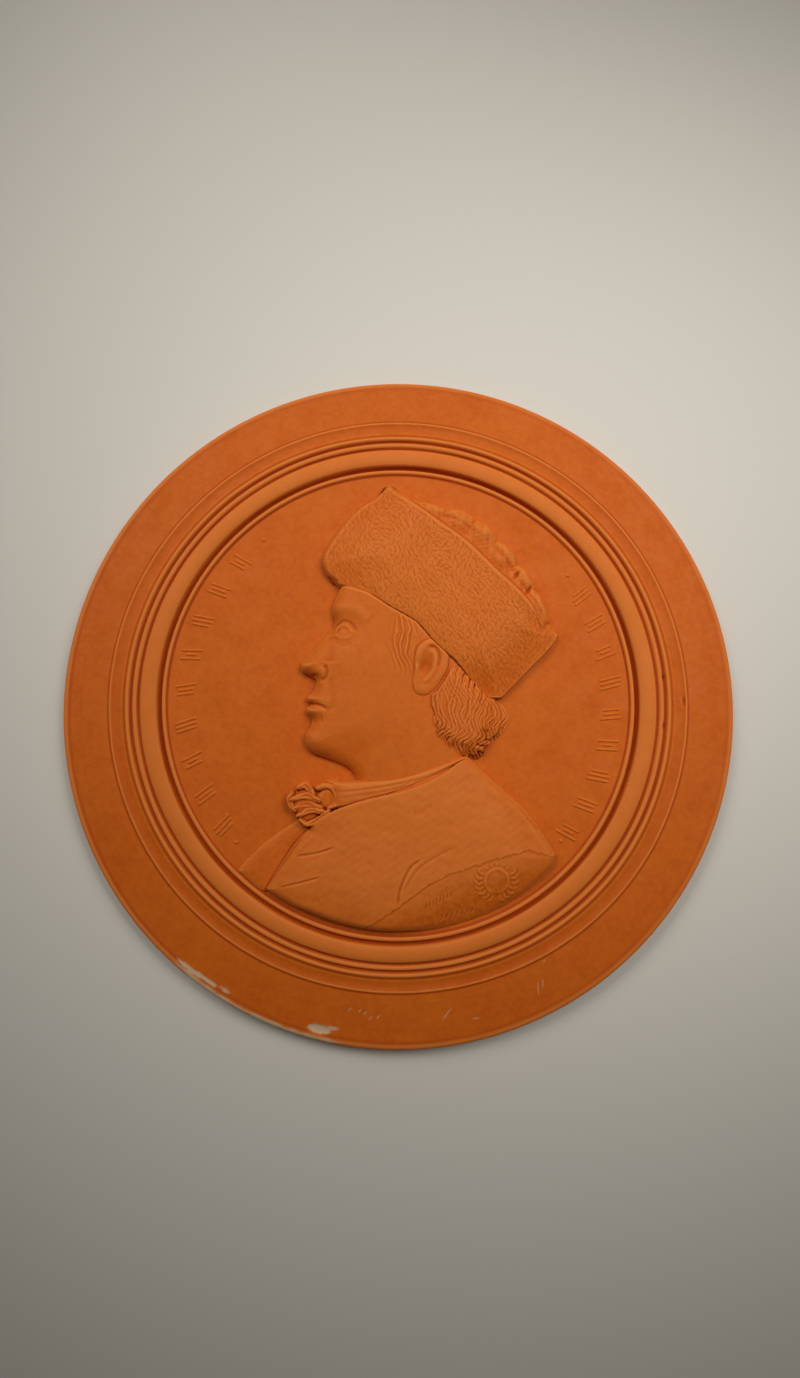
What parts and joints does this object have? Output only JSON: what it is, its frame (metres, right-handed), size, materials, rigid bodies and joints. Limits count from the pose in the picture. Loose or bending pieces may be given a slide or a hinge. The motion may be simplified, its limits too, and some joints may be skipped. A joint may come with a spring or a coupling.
{
  "type": "relief roundel",
  "caption": "Round terracotta plaque with a low-relief portrait bust in profile inside a turned moulded frame, flat at the back.",
  "frame": {"origin": "centre of the flat back, where the plaque rests", "axes": "+Z out of the relief, away from the back; +Y the top of the picture; +X its right side"},
  "size_m": [0.15, 0.15, 0.0101],
  "materials": {
    "terracotta": "matte unglazed terracotta, worn paler on the high spots"
  },
  "bodies": {
    "root": {"roundel": "terracotta"}
  },
  "joints": []
}
